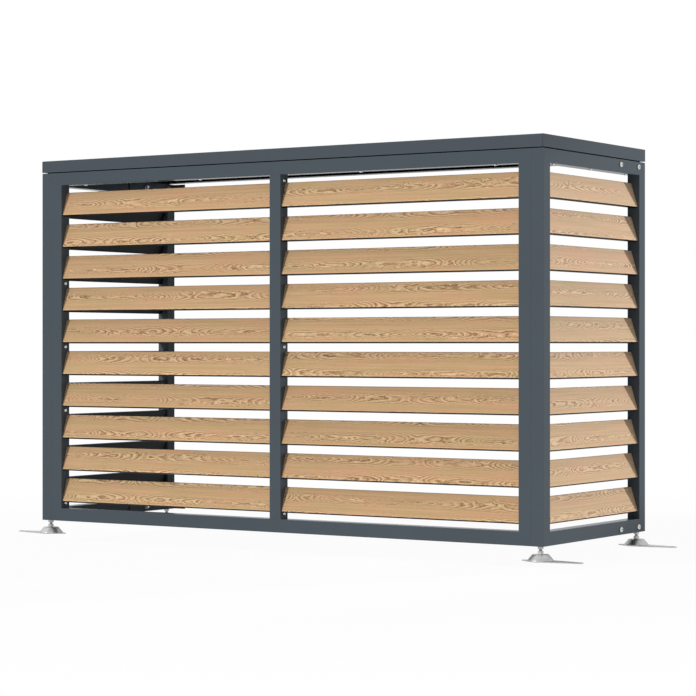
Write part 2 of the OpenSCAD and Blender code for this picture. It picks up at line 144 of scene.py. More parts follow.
# One material and its nodes
class Sheet:
    def __init__(self, name, world=None):
        holder = world or bpy.data.materials.new(name)
        holder.use_nodes = True
        self.holder = holder
        self.tree = holder.node_tree
        self.tree.nodes.clear()

    def put(self, kind, settings=None, sockets=None, output=0):
        node = self.tree.nodes.new(kind)
        for name, value in (settings or {}).items():
            setattr(node, name, value)
        pairs = enumerate(sockets) if isinstance(sockets, list) else (sockets or {}).items()
        for name, value in pairs:
            if isinstance(value, Value):
                self.tree.links.new(value.socket, node.inputs[name])
            else:
                node.inputs[name].default_value = value
        return Value(self, node.outputs[output]) if node.outputs else None

    # Object coordinates in metres
    def place(self):
        return self.put("ShaderNodeTexCoord", output=3)

    # The surface's direction, on the object's own axes
    def facing(self):
        return self.put("ShaderNodeTexCoord", output=1)

    def split(self, vector):
        first = self.put("ShaderNodeSeparateXYZ", None, [vector])
        outputs = first.socket.node.outputs
        return [Value(self, outputs[i]) for i in range(3)]

    def join(self, x, y, z):
        return self.put("ShaderNodeCombineXYZ", None, [x, y, z])

    def noise(self, place, scale, detail=2.0, roughness=0.5):
        return self.put(
            "ShaderNodeTexNoise",
            None,
            {"Vector": place, "Scale": scale, "Detail": detail, "Roughness": roughness},
        )

    def blend(self, share, first, second):
        return self.put(
            "ShaderNodeMix",
            {"data_type": "RGBA", "clamp_factor": True},
            {"Factor": share, 6: first, 7: second},
            output=2,
        )

    def shaded(self, colour, shade):
        return self.put("ShaderNodeVectorMath", {"operation": "SCALE"}, {0: colour, "Scale": shade})

    def bump(self, height, distance, strength):
        return self.put(
            "ShaderNodeBump", None, {"Strength": strength, "Distance": distance, "Height": height}
        )

    def surface(self, sockets):
        shader = self.put("ShaderNodeBsdfPrincipled", None, sockets)
        self.finishWith(shader)
        return self.holder

    def finishWith(self, shader):
        self.put("ShaderNodeOutputMaterial", None, {"Surface": shader})


# Powder coat: a fine orange peel, a very fine grain in the gloss and slow drifts in the shade.
# A painted highlight lightens the rounded upright edges, where the lamps leave them darker
coatSettings = {
    "frame": {"colour": paint(83, 92, 99), "drift": 0.05, "roughness": 0.24, "peel": 0.00002,
              "gloss": 0.05, "paintedEdgeLight": 0.45},
    "lid": {"colour": paint(83, 91, 98), "drift": 0.05, "roughness": 0.26, "peel": 0.00002,
            "gloss": 0.05, "paintedEdgeLight": 0.45},
    # The slats' backs: a dark anthracite coat, painted darker still as painted shade for their place
    # behind the face
    "slatBack": {"colour": paint(28, 31, 34), "drift": 0.04, "roughness": 0.45, "peel": 0.00004,
                 "gloss": 0.1, "paintedEdgeLight": 0.0},
}

# What all coats share: waves per metre, and how much each layer moves the shade and the roughness
coatGrain = {
    "driftScale": 3.1,
    "grainScale": 1400.0,
    "peelScale": 420.0,
    "grainShade": 0.10,
    "grainRough": 0.06,
    "driftRough": 0.04,
    "paintedEdgeRange": (0.15, 0.40),
    "bump": 0.6,
}


def coatLayers(sheet, settings, shared):
    place = sheet.place()
    drift = sheet.noise(place, shared["driftScale"], detail=3.0)
    grain = sheet.noise(place, shared["grainScale"], detail=1.0)
    peel = sheet.noise(place, shared["peelScale"], detail=2.0)
    shade = (drift - 0.5) * (2 * settings["drift"]) + (grain - 0.5) * shared["grainShade"] + 1.0
    east, north, _ = sheet.split(sheet.facing())
    # Painted highlight on the rounded upright edges, half facing front and half facing side
    shade = shade + (abs(east) * abs(north)).ramp(*shared["paintedEdgeRange"]) * settings["paintedEdgeLight"]
    roughness = (
        (grain - 0.5) * shared["grainRough"] + (drift - 0.5) * shared["driftRough"] + settings["roughness"]
    )
    relief = sheet.bump(peel, settings["peel"], shared["bump"])
    return sheet.shaded(settings["colour"][:3], shade), roughness, relief


def makeCoat(name, settings):
    sheet = Sheet(name)
    colour, roughness, relief = coatLayers(sheet, settings, coatGrain)
    return sheet.surface({
        "Base Color": colour,
        "Roughness": roughness,
        "Specular IOR Level": settings["gloss"],
        "Normal": relief,
    })


# Slats: wood decor on the face that looks out, powder coat on the edges and the back; the top and bottom
# edges are painted near black, as painted shade.
# Lengths in metres; a range gives the two ends of a soft step
slatSettings = {
    "firstZ": 0.1052,
    "pitch": 0.101987,
    "rise": 0.074714,
    "tilt": 16.7,
    "halfWidth": 0.039,
    "hem": 0.0017,
    "hemSoft": 0.0004,
    "decorTo": 0.985,
    "decorSoft": 0.03,
    "edgeShadeRange": (0.5, 0.8),
    "seedOf": {"x": 3.0, "y": 71.0},
    "seedBySide": 17.0,
    "seedScale": 1.37,
    "shiftByDraw": 9.0,
    "shiftBySlat": 3.0,
}

# The log that the decor's rings are cut from
ringSettings = {
    "ring": 0.0032,
    "pithSpread": 0.056,
    "bandsApart": 0.054,
    "swaysPerMetre": 1.3,
    "slowScale": 3.4,
    "slowSeed": 4.1,
    "slowSway": 0.9,
    "depthSwing": 0.027,
    "heartWaver": 0.015,
    "depthWaver": 0.008,
    "ringShiver": 0.75,
    "least": 0.000001,
    "lateWood": (0.58, 0.76, 0.84, 0.96),
    "earlyWood": (0.02, 0.12, 0.14, 0.40),
    "flameWidth": 0.015,
    "flameFrom": 0.45,
    "flameTo": 1.5,
    "fadeRange": (0.30, 0.60),
    "fadeDepth": 0.75,
    "fadeSeed": 5.0,
    "strong": 0.80,
    "faint": 0.12,
    "poreRange": (0.585, 0.72),
    "poresEarly": 0.35,
    "poresLate": 0.65,
    "streakSeed": 9.0,
}

# The decor's layers of noise: waves per metre along the slat and across it, detail, roughness
grainLayers = {
    "waver": (26.0, 60.0, 3.0, 0.5),
    "shiver": (75.0, 420.0, 2.0, 0.5),
    "fade": (8.0, 30.0, 2.0, 0.5),
    "pores": (46.0, 1500.0, 2.0, 0.6),
    "fibre": (7.0, 520.0, 3.0, 0.6),
    "clouds": (5.5, 34.0, 2.0, 0.5),
    "streaks": (2.2, 170.0, 2.0, 0.5),
}

woodSettings = {
    "light": paint(205, 172, 128),
    "middle": paint(190, 153, 108),
    # The side slats' ring lines are painted warmer, making up for the greying that the grazing light and
    # sheen give that side
    "dark": {"x": paint(126, 84, 46), "y": paint(142, 84, 38)},
    "pore": paint(118, 82, 50),
    "rosy": paint(204, 154, 116),
    "olive": paint(192, 163, 112),
    "pale": paint(232, 202, 160),
    # Painted shade: near black for the slats' top and bottom edges
    "edge": paint(10, 10, 11),
    "fibreRange": (0.30, 0.70),
    "fibreShare": 0.7,
    "streakRange": (0.35, 0.65),
    "streakShare": 0.3,
    "rosyRange": (0.45, 0.70),
    "rosyShare": 0.50,
    "rosyByDraw": 0.25,
    "oliveRange": (0.30, 0.52),
    "oliveShare": 0.55,
    "paleShare": 0.8,
    "poreShare": 0.45,
    "poreRelief": 0.8,
    "ringRelief": 0.35,
    "fibreRelief": 0.3,
    "poreRough": 0.14,
    "lateRough": 0.05,
    "fibreRough": 0.10,
    "roughness": 0.62,
    "gloss": 0.12,
    "sheen": 0.66,
    "relief": 0.00016,
    "bump": 0.7,
}

# How light or dark the decor is: by slat, by patch and streak, and by the place across the slat, where it
# is painted light: a painted highlight along the lower edge, painted shade along the top edge and towards
# the top
toneSettings = {
    "mean": 0.98,
    "byDraw": 0.10,
    "clouds": 0.10,
    "streaks": 0.34,
    # Painted highlight along each slat's lower edge, and painted shade along its top edge and darkening
    # towards its top
    "foot": 0.16,
    "footHighlightRange": (0.0022, 0.0046),
    "head": 0.10,
    "headShadeRange": (0.0345, 0.0376),
    "shadeSlope": 2.0,
    "upperShade": 0.06,
    "upperShadeRange": (0.006, 0.032),
    # Painted light: the side slats' decor is painted lighter
    "side": 0.16,
}


def makeOak(name, along):
    sheet = Sheet(name)
    slat, log, wood, shades = slatSettings, ringSettings, woodSettings, toneSettings
    x, y, z = sheet.split(sheet.place())
    nx, ny, nz = sheet.split(sheet.facing())
    side = x.sign()
    run = x if along == "x" else y
    tiltCos = math.cos(math.radians(slat["tilt"]))
    tiltSin = math.sin(math.radians(slat["tilt"]))
    outward = (-ny if along == "x" else nx * side) * tiltCos + nz * tiltSin

    # Which slat this is, and its own three random numbers
    spare = (slat["pitch"] - slat["rise"]) / 2
    height = z - slat["firstZ"]
    number = ((height + spare) / slat["pitch"]).floor()
    across = (height - number * slat["pitch"] - slat["rise"] / 2) / tiltCos
    seed = number + side * slat["seedBySide"] + slat["seedOf"][along]
    draw = sheet.put(
        "ShaderNodeTexWhiteNoise", {"noise_dimensions": "1D"}, {"W": seed * slat["seedScale"]}, output=1
    )
    first, second, third = sheet.split(draw)
    shift = run + first * slat["shiftByDraw"] + number * slat["shiftBySlat"]

    def layer(kind, start=seed):
        lengthwise, crosswise, detail, roughness = grainLayers[kind]
        return sheet.noise(
            sheet.join(shift * lengthwise, across * crosswise, start), 1.0, detail, roughness
        )

    # The decor covers the face that looks out, down to a thin hem along its lower edge
    hem = slat["hem"] - slat["halfWidth"]
    decor = (
        outward.ramp(slat["decorTo"] - slat["decorSoft"], slat["decorTo"])
        * across.ramp(hem, hem + slat["hemSoft"])
    )

    # Rings cut lengthwise: the log's heart comes nearer and goes further along the board,
    # which draws nested flames where it lies flat under the face
    slow = sheet.noise(sheet.join(shift * log["slowScale"], seed * log["slowSeed"], 0.0), 1.0)
    waver = layer("waver")
    heart = abs(across - (second - 0.5) * log["pithSpread"]) - log["bandsApart"] / 2
    heart = heart + (waver - 0.5) * log["heartWaver"]
    phase = (shift * log["swaysPerMetre"] + slow * log["slowSway"]).fraction()
    sway = abs(phase - 0.5) * 2.0
    depth = sway * log["depthSwing"] + (waver - 0.5) * log["depthWaver"]
    radius = (heart * heart + depth * depth + log["least"]).root()
    turn = (radius / log["ring"] + (layer("shiver") - 0.5) * log["ringShiver"]).fraction()
    late = turn.hump(*log["lateWood"])
    early = turn.hump(*log["earlyWood"])
    flame = 1.0 - abs(heart).ramp(log["flameWidth"] * log["flameFrom"], log["flameWidth"] * log["flameTo"])
    fade = layer("fade", seed + log["fadeSeed"]).ramp(*log["fadeRange"])
    strength = flame * (fade * log["fadeDepth"] + (1 - log["fadeDepth"]))
    ringShade = late * (strength * log["strong"] + log["faint"])

    # Pores: short dark dashes along the grain, closest in the late wood
    dashes = layer("pores").ramp(*log["poreRange"]) * (log["poresEarly"] + late * log["poresLate"])
    fibre = layer("fibre")
    clouds = layer("clouds")
    streaks = layer("streaks", seed + log["streakSeed"])

    lightShare = (
        fibre.ramp(*wood["fibreRange"]) * wood["fibreShare"]
        + streaks.ramp(*wood["streakRange"]) * wood["streakShare"]
    )
    rosyShare = clouds.ramp(*wood["rosyRange"]) * wood["rosyShare"] + third * wood["rosyByDraw"]
    oliveShare = (1.0 - clouds.ramp(*wood["oliveRange"])) * wood["oliveShare"]
    colour = sheet.blend(lightShare, wood["middle"], wood["light"])
    colour = sheet.blend(rosyShare, colour, wood["rosy"])
    colour = sheet.blend(oliveShare, colour, wood["olive"])
    colour = sheet.blend(early * strength * wood["paleShare"], colour, wood["pale"])
    colour = sheet.blend(ringShade, colour, wood["dark"][along])
    colour = sheet.blend(dashes * wood["poreShare"], colour, wood["pore"])

    tone = first * shades["byDraw"] + shades["mean"]
    tone = tone + (clouds - 0.5) * shades["clouds"] + (streaks - 0.5) * shades["streaks"]
    # Painted light across each slat: a painted highlight along the lower edge, painted shade at the top
    # edge and towards the top
    highlightFrom, highlightTo = shades["footHighlightRange"]
    foot = 1.0 - across.ramp(hem + highlightFrom, hem + highlightTo)
    tone = tone + foot * shades["foot"] - across.ramp(*shades["headShadeRange"]) * shades["head"]
    tone = tone - across * shades["shadeSlope"] - across.ramp(*shades["upperShadeRange"]) * shades["upperShade"]
    # The side slats are painted lighter, standing in for the light on that side
    if along == "y":
        tone = tone + shades["side"]

    relief = (1.0 - dashes) * wood["poreRelief"] - ringShade * wood["ringRelief"]
    relief = relief + fibre * wood["fibreRelief"]
    roughness = dashes * wood["poreRough"] - late * wood["lateRough"] + (fibre - 0.5) * wood["fibreRough"]
    woodShader = sheet.put("ShaderNodeBsdfPrincipled", None, {
        "Base Color": sheet.shaded(colour, tone),
        "Roughness": roughness + wood["roughness"],
        "Specular IOR Level": wood["gloss"],
        "Sheen Weight": wood["sheen"],
        "Normal": sheet.bump(relief, wood["relief"], wood["bump"]),
    })

    back = coatSettings["slatBack"]
    coat, coatRoughness, coatRelief = coatLayers(sheet, back, coatGrain)
    coatShader = sheet.put("ShaderNodeBsdfPrincipled", None, {
        # Painted shade: the faces that point up or down, the slats' top and bottom edges, are painted near
        # black
        "Base Color": sheet.blend(abs(nz).ramp(*slat["edgeShadeRange"]), coat, wood["edge"]),
        "Roughness": coatRoughness,
        "Specular IOR Level": back["gloss"],
        "Normal": coatRelief,
    })
    sheet.finishWith(sheet.put("ShaderNodeMixShader", None, [decor, coatShader, woodShader]))
    return sheet.holder


# Zinc-plated steel: turned rings round each foot's axis, a soft spangle and dulled patches
zincSettings = {
    "bright": {"colour": paint(250, 250, 249), "dull": paint(234, 235, 235), "roughness": 0.34},
    # The bracket bolts' zinc is painted darker: painted shade
    "bolt": {"colour": paint(222, 222, 220), "dull": paint(184, 185, 185), "roughness": 0.36},
    "foot": {"colour": paint(196, 196, 195), "dull": paint(160, 161, 161), "roughness": 0.42},
    "footX": 0.895,
    "footY": 0.305,
    "patchScale": 60.0,
    "patchRange": (0.38, 0.66),
    "patchShare": 0.55,
    "patchRough": 0.10,
    "spangleScale": 420.0,
    "spangleShare": 0.18,
    "spangleRough": 0.05,
    "fineScale": 2600.0,
    "fineRough": 0.06,
    "fineRelief": 0.00003,
    "turnScale": 2600.0,
    "turnRise": 900.0,
    "turnRelief": 0.00005,
    "bump": 0.6,
}


def makeZinc(name, settings, tone, turned=False):
    shadeOf = settings[tone]
    sheet = Sheet(name)
    place = sheet.place()
    x, y, z = sheet.split(place)
    patches = sheet.noise(place, settings["patchScale"], detail=3.0)
    spangle = sheet.put(
        "ShaderNodeTexVoronoi",
        {"feature": "F1"},
        {"Vector": place, "Scale": settings["spangleScale"]},
        output=1,
    )
    shade, _, _ = sheet.split(spangle)
    fine = sheet.noise(place, settings["fineScale"], detail=1.0)
    dullShare = patches.ramp(*settings["patchRange"]) * settings["patchShare"]
    colour = sheet.blend(dullShare + shade * settings["spangleShare"], shadeOf["colour"], shadeOf["dull"])
    roughness = (patches - 0.5) * settings["patchRough"] + (shade - 0.5) * settings["spangleRough"]
    roughness = roughness + (fine - 0.5) * settings["fineRough"] + shadeOf["roughness"]
    height = fine * settings["fineRelief"]
    if turned:
        east = abs(x) - settings["footX"]
        north = abs(y) - settings["footY"]
        radius = (east * east + north * north).root()
        rings = sheet.noise(
            sheet.join(radius * settings["turnScale"], z * settings["turnRise"], 0.0), 1.0, detail=2.0
        )
        height = height + rings * settings["turnRelief"]
    return sheet.surface({
        "Base Color": colour,
        "Metallic": 1.0,
        "Roughness": roughness,
        "Normal": sheet.bump(height, 1.0, settings["bump"]),
    })


# Mill-finish aluminium: long drawing lines
millSettings = {
    "colour": paint(186, 188, 190),
    "bright": paint(214, 215, 217),
    "finest": 1200.0,
    "along": 14.0,
    "roughness": 0.26,
    "lineRough": 0.16,
    "relief": 0.00004,
    "bump": 0.6,
}


def makeMill(name, settings):
    sheet = Sheet(name)
    x, y, z = sheet.split(sheet.place())
    finest = settings["finest"]
    lines = sheet.noise(sheet.join(x * finest, y * settings["along"], z * finest), 1.0, detail=3.0)
    return sheet.surface({
        "Base Color": sheet.blend(lines, settings["colour"], settings["bright"]),
        "Metallic": 1.0,
        "Roughness": lines * settings["lineRough"] + settings["roughness"],
        "Normal": sheet.bump(lines, settings["relief"], settings["bump"]),
    })


# Plastic and sealing strip, with painted shade for the lid's liner and the insides of the sockets: a grain
# over a matt colour
dullSettings = {
    # Painted shade: the insides of the hex sockets
    "socket": {"colour": paint(128, 128, 126), "grain": 2400.0, "roughness": 0.6, "relief": 0.00001,
               "gloss": 0.4},
    # Painted shade: the lid's liner is painted near black for the shade under the lid
    "liner": {"colour": paint(7, 8, 8), "grain": 700.0, "roughness": 0.95, "relief": 0.00005,
              "gloss": 0.0},
    "holder": {"colour": paint(27, 28, 30), "grain": 900.0, "roughness": 0.52, "relief": 0.00005,
               "gloss": 0.5},
    "seal": {"colour": paint(20, 20, 21), "grain": 500.0, "roughness": 0.86, "relief": 0.00015,
             "gloss": 0.3},
}

dullGrain = {
    "bloomScale": 14.0,
    "grainShade": 0.5,
    "bloomShade": 0.4,
    "leastShade": 0.55,
    "grainRough": 0.16,
    "bump": 0.7,
}


def makeDull(name, settings, shared):
    sheet = Sheet(name)
    place = sheet.place()
    grain = sheet.noise(place, settings["grain"], detail=3.0, roughness=0.7)
    bloom = sheet.noise(place, shared["bloomScale"], detail=2.0)
    shade = grain * shared["grainShade"] + bloom * shared["bloomShade"] + shared["leastShade"]
    return sheet.surface({
        "Base Color": sheet.shaded(settings["colour"][:3], shade),
        "Roughness": (grain - 0.5) * shared["grainRough"] + settings["roughness"],
        "Specular IOR Level": settings["gloss"],
        "Normal": sheet.bump(grain, settings["relief"], shared["bump"]),
    })


finishes = {
    "frame": makeCoat("anthraciteCoat", coatSettings["frame"]),
    "lid": makeCoat("lidCoat", coatSettings["lid"]),
    "oakFront": makeOak("oakDecorFront", "x"),
    # A lighter painted copy of the decor for the side slats
    "oakSide": makeOak("oakDecorSideLit", "y"),
    "zinc": makeZinc("zincPlate", zincSettings, "bright"),
    "shadedBoltZinc": makeZinc("shadedBoltZinc", zincSettings, "bolt"),
    "footZinc": makeZinc("footZinc", zincSettings, "foot"),
    "turnedZinc": makeZinc("turnedZinc", zincSettings, "foot", turned=True),
    "mill": makeMill("millAluminium", millSettings),
    "holder": makeDull("holderPlastic", dullSettings["holder"], dullGrain),
    "seal": makeDull("sealRubber", dullSettings["seal"], dullGrain),
    "socket": makeDull("socketShade", dullSettings["socket"], dullGrain),
    "liner": makeDull("linerShadeBlack", dullSettings["liner"], dullGrain),
}
print("finishes made:", len(finishes))


# The finish of each node that isn't a tube, a bracket, a front slat or part of a foot
finishOf = {
    "lid_tray": "lid",
    "lid_liner": "liner",
    "lid_stiffeners": "mill",
    "mid_stile_spigots": "mill",
    "lid_seal": "seal",
    "slat_holders": "holder",
    "left_side_slats": "oakSide",
    "right_side_slats": "oakSide",
    "foot_lock_nuts": "footZinc",
    "foot_weld_nuts": "footZinc",
    "panel_fasteners": "zinc",
    "lid_fasteners": "zinc",
    "bracket_fasteners": "zinc",
}


def finishFor(name):
    if name in finishOf:
        return finishes[finishOf[name]]
    if "_slat_" in name:
        return finishes["oakFront"]
    if name.endswith("_foot_pad") or name.endswith("_foot_stud"):
        return finishes["turnedZinc"]
    if name.endswith("_anchor_plate"):
        return finishes["footZinc"]
    return finishes["frame"]


for name, node in nodes.items():
    node.data.materials.clear()
    node.data.materials.append(finishFor(name))
print("finishes put on the nodes")


# Modelling helpers. Every piece is shaped round the Z axis and then put in its place
pieceSettings = {"weld": 0.000002, "smoothAngle": 32.0}


def startClean():
    if bpy.context.object and bpy.context.object.mode == "EDIT":
        bpy.ops.object.mode_set(mode="OBJECT")
    bpy.ops.object.select_all(action="DESELECT")


def activate(piece):
    startClean()
    piece.select_set(True)
    bpy.context.view_layer.objects.active = piece


def settle(piece):
    activate(piece)
    bpy.ops.object.transform_apply(location=True, rotation=True, scale=True)
    bpy.ops.object.mode_set(mode="EDIT")
    bpy.ops.mesh.select_all(action="SELECT")
    bpy.ops.mesh.remove_doubles(threshold=pieceSettings["weld"])
    bpy.ops.mesh.normals_make_consistent(inside=False)
    bpy.ops.object.mode_set(mode="OBJECT")


# Grows a turned piece from its lowest ring: each next ring is extruded and then sized.
# A ring is its radius and height, in millimetres
def turned(rings, sides=48):
    startClean()
    radius, height = rings[0]
    bpy.ops.mesh.primitive_circle_add(
        vertices=sides, radius=radius / 1000, fill_type="NGON", location=(0, 0, height / 1000)
    )
    piece = bpy.context.object
    bpy.ops.object.mode_set(mode="EDIT")
    bpy.ops.mesh.select_all(action="SELECT")
    for nextRadius, nextHeight in rings[1:]:
        rise = (nextHeight - height) / 1000
        bpy.ops.mesh.extrude_region_move(TRANSFORM_OT_translate={"value": (0, 0, rise)})
        growth = nextRadius / radius
        bpy.ops.transform.resize(value=(growth, growth, 1), center_override=(0, 0, nextHeight / 1000))
        radius, height = nextRadius, nextHeight
    bpy.ops.object.mode_set(mode="OBJECT")
    settle(piece)
    return piece


def carve(piece, tool, way):
    activate(piece)
    modifier = piece.modifiers.new("carve", "BOOLEAN")
    modifier.operation = way
    modifier.object = tool
    modifier.solver = "EXACT"
    bpy.ops.object.modifier_apply(modifier="carve")
    bpy.data.objects.remove(tool)


def hexBar(acrossFlats, low, high):
    startClean()
    bpy.ops.mesh.primitive_cylinder_add(
        vertices=6,
        radius=acrossFlats / math.sqrt(3) / 1000,
        depth=(high - low) / 1000,
        location=(0, 0, (low + high) / 2000),
        rotation=(0, 0, math.radians(30)),
    )
    bar = bpy.context.object
    settle(bar)
    return bar


# A hexagon with its corners turned off at both ends, as on a bought nut
def turnedHex(acrossFlats, low, high, cornerCut):
    block = hexBar(acrossFlats, low, high)
    corner = acrossFlats / math.sqrt(3)
    barrel = turned([
        (corner - cornerCut, low - 0.01),
        (corner + 0.1, low + cornerCut * 0.58),
        (corner + 0.1, high - cornerCut * 0.58),
        (corner - cornerCut, high + 0.01),
    ])
    carve(block, barrel, "INTERSECT")
    return block


# A thread: a three-cornered wire wound round a core that hides its inner side
def wound(crest, depth, pitch, low, high, steps):
    startClean()
    size = depth / 1.4
    bpy.ops.mesh.primitive_circle_add(
        vertices=3,
        radius=size / 1000,
        fill_type="NOTHING",
        location=((crest - size) / 1000, 0, low / 1000),
        rotation=(math.radians(90), math.radians(90), 0),
    )
    wire = bpy.context.object
    bpy.ops.object.transform_apply(location=True, rotation=True, scale=True)
    winding = wire.modifiers.new("winding", "SCREW")
    winding.axis = "Z"
    winding.screw_offset = pitch / 1000
    winding.iterations = int((high - low) / pitch)
    winding.steps = steps
    winding.render_steps = steps
    bpy.ops.object.modifier_apply(modifier="winding")
    bpy.ops.object.mode_set(mode="EDIT")
    bpy.ops.mesh.select_all(action="SELECT")
    bpy.ops.mesh.fill_holes(sides=3)
    bpy.ops.object.mode_set(mode="OBJECT")
    settle(wire)
    return wire


def joined(pieces):
    startClean()
    for piece in pieces:
        piece.select_set(True)
    bpy.context.view_layer.objects.active = pieces[0]
    bpy.ops.object.join()
    return pieces[0]


# A copy with its own mesh, turned about Y and moved, for each place that the master piece goes to
def copyTo(master, name, place, turnY=0.0):
    activate(master)
    bpy.ops.object.duplicate(linked=False)
    copy = bpy.context.object
    copy.name = name
    copy.location = place
    copy.rotation_euler = (0, math.radians(turnY), 0)
    bpy.ops.object.transform_apply(location=True, rotation=True, scale=True)
    return copy


def dress(piece, finish, slot, body, *stoodFor):
    activate(piece)
    bpy.ops.object.shade_smooth_by_angle(angle=math.radians(pieceSettings["smoothAngle"]))
    if not piece.data.materials:
        piece.data.materials.append(finishes[finish])
    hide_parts(*stoodFor)
    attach(piece, body)


footNames = ["front_left", "front_right", "rear_left", "rear_right"]
lowStud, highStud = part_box("front_left_foot_stud")
lowPad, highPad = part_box("front_left_foot_pad")
lowNut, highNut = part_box("foot_lock_nuts")


def footAxis(name):
    low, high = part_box(name + "_foot_stud")
    return Vector(((low.x + high.x) / 2, (low.y + high.y) / 2, 0))


# Levelling feet, in millimetres: a bought set of threaded stud, pressed pad and lock nut
footSettings = {
    "ball": 6.0,
    "neck": 3.6,
    "hex": 16.0,
    "hexHeight": 8.5,
    "cornerCut": 1.0,
    "core": 4.15,
    "crest": 5.0,
    "threadDepth": 0.98,
    "pitch": 1.5,
    "steps": 28,
    "padGap": 1.0,
    "padLip": 1.6,
    "padTopEdge": 0.9,
    "padTop": 23.7,
    "padSides": 64,
    "collar": 8.5,
    # The ball's rings, as shares of its radius: how wide, and how far above its middle
    "ballRings": [(0.3, -0.95), (0.7, -0.71), (0.95, -0.3), (1.0, 0.0), (0.95, 0.3), (0.7, 0.71)],
    "neckFrom": 0.85,
    "threadStart": 0.9,
    "threadEnd": 1.6,
    "boreClear": 0.05,
    "boreEdge": 1.0,
}


def makeStud(settings):
    bottom, top = lowStud.z * 1000, highStud.z * 1000
    middle = bottom + settings["ball"]
    hexLow = highPad.z * 1000 + settings["padGap"]
    hexHigh = hexLow + settings["hexHeight"]
    ball, neck, core = settings["ball"], settings["neck"], settings["core"]
    rings = [(ball * wide, middle + ball * high) for wide, high in settings["ballRings"]]
    body = turned(rings + [
        (neck, middle + ball * settings["neckFrom"]),
        (neck, hexLow + 0.3),
        (core, hexLow + 1.0),
        (core, top - 1.0),
        (core - 0.9, top),
    ])
    hexagon = turnedHex(settings["hex"], hexLow, hexHigh, settings["cornerCut"])
    thread = wound(
        settings["crest"],
        settings["threadDepth"],
        settings["pitch"],
        hexHigh - settings["threadStart"],
        top - settings["threadEnd"],
        settings["steps"],
    )
    return joined([body, hexagon, thread])


# The pressed pad: a straight cone with a rolled lip below and a round top edge, and a collar for the stud
def makePad(settings):
    low, high = lowPad.z * 1000, highPad.z * 1000
    reach = (highPad.x - lowPad.x) * 500
    top, edge, lip = settings["padTop"], settings["padTopEdge"], settings["padLip"]
    collar = settings["collar"]
    lean = (reach - top) / (high - low - lip)
    return turned([
        (reach - 0.6, low),
        (reach, low + 0.4),
        (reach, low + lip - 0.5),
        (reach - 0.25, low + lip),
        (reach - 0.25 - lean * 0.5, low + lip + 0.5),
        (top + lean * edge, high - edge),
        (top + lean * edge * 0.15, high - edge * 0.35),
        (top - edge * 0.6, high - edge * 0.08),
        (top - edge * 1.4, high - 0.02),
        (collar + 2.5, high - 0.02),
        (collar + 1.2, high - 0.5),
        (collar, high - 0.6),
        (settings["neck"] + 0.9, high - 0.25),
        (settings["neck"] + 0.4, high - 0.9),
        (settings["neck"] + 0.3, high - 4.0),
    ], sides=settings["padSides"])


def makeLockNut(settings):
    low, high = lowNut.z * 1000, highNut.z * 1000
    clear, edge = settings["boreClear"], settings["boreEdge"]
    nut = turnedHex(settings["hex"], low, high - clear, settings["cornerCut"])
    bore = turned([
        (settings["crest"] + edge, low - 0.5),
        (settings["crest"] + clear, low + 0.7),
        (settings["crest"] + clear, high + 1.0),
    ])
    carve(nut, bore, "DIFFERENCE")
    return nut


def makeFeet(settings):
    stud, pad, nut = makeStud(settings), makePad(settings), makeLockNut(settings)
    for name in footNames:
        place, body = footAxis(name), name + "_foot"
        for master, piece, finish, rider, node in (
            (stud, "_threaded_stud", "turnedZinc", body, name + "_foot_stud"),
            (pad, "_pressed_pad", "turnedZinc", body, name + "_foot_pad"),
            (nut, "_lock_nut", "footZinc", "frame", "foot_lock_nuts"),
        ):
            dress(copyTo(master, name + piece, place), finish, "zinc_steel", rider, node)
    for master in (stud, pad, nut):
        bpy.data.objects.remove(master)


makeFeet(footSettings)
print("feet made")


# Screws and bolts, in millimetres: low round heads with a hex socket. The shank runs up from Z = 0
# and the head hangs below it, as in the rows of holes that they go into
screwSettings = {
    "panel": {"finish": "zinc", "shank": 3.0, "length": 53.0, "head": 5.3, "height": 3.3,
              "socket": 4.0, "socketDepth": 1.9, "insertAt": 40.0, "insertWall": 2.0},
    "mid": {"finish": "zinc", "shank": 3.0, "length": 20.0, "head": 5.3, "height": 3.3,
            "socket": 4.0, "socketDepth": 1.9},
    "lid": {"finish": "zinc", "shank": 3.0, "length": 56.0, "head": 5.3, "height": 3.3,
            "socket": 4.0, "socketDepth": 1.9, "insertAt": 43.0, "insertWall": 2.0},
    "bracket": {"finish": "shadedBoltZinc", "shank": 4.0, "length": 54.0, "head": 8.0, "height": 4.4,
                "socket": 5.0, "socketDepth": 2.5, "nutAt": 44.0, "nut": 13.0, "nutHeight": 8.0,
                "flange": 8.0, "flangeRim": 1.2},
}

# What all screws share: the head's rings as shares of its radius and height, and the thread in a nut
screwShapes = {
    "headRings": [(0.42, 1.0), (0.60, 0.985), (0.74, 0.90), (0.86, 0.74), (0.95, 0.50), (0.995, 0.24),
                  (1.0, 0.10), (0.97, 0.0)],
    "headSides": 40,
    "pointHeight": 0.8,
    "pointCut": 0.7,
    "insertSides": 24,
    "insertRim": 1.5,
    "insertBulge": 0.9,
    "threadLift": 0.12,
    "threadDepth": 0.8,
    "threadPitch": 1.25,
    "threadSteps": 20,
    "threadRange": (3.4, 0.9),
}

# How far a socket's faces are looked for beyond its drawn size, in metres
socketSearch = {"slack": 0.00002, "rim": 0.0002, "down": -0.5}


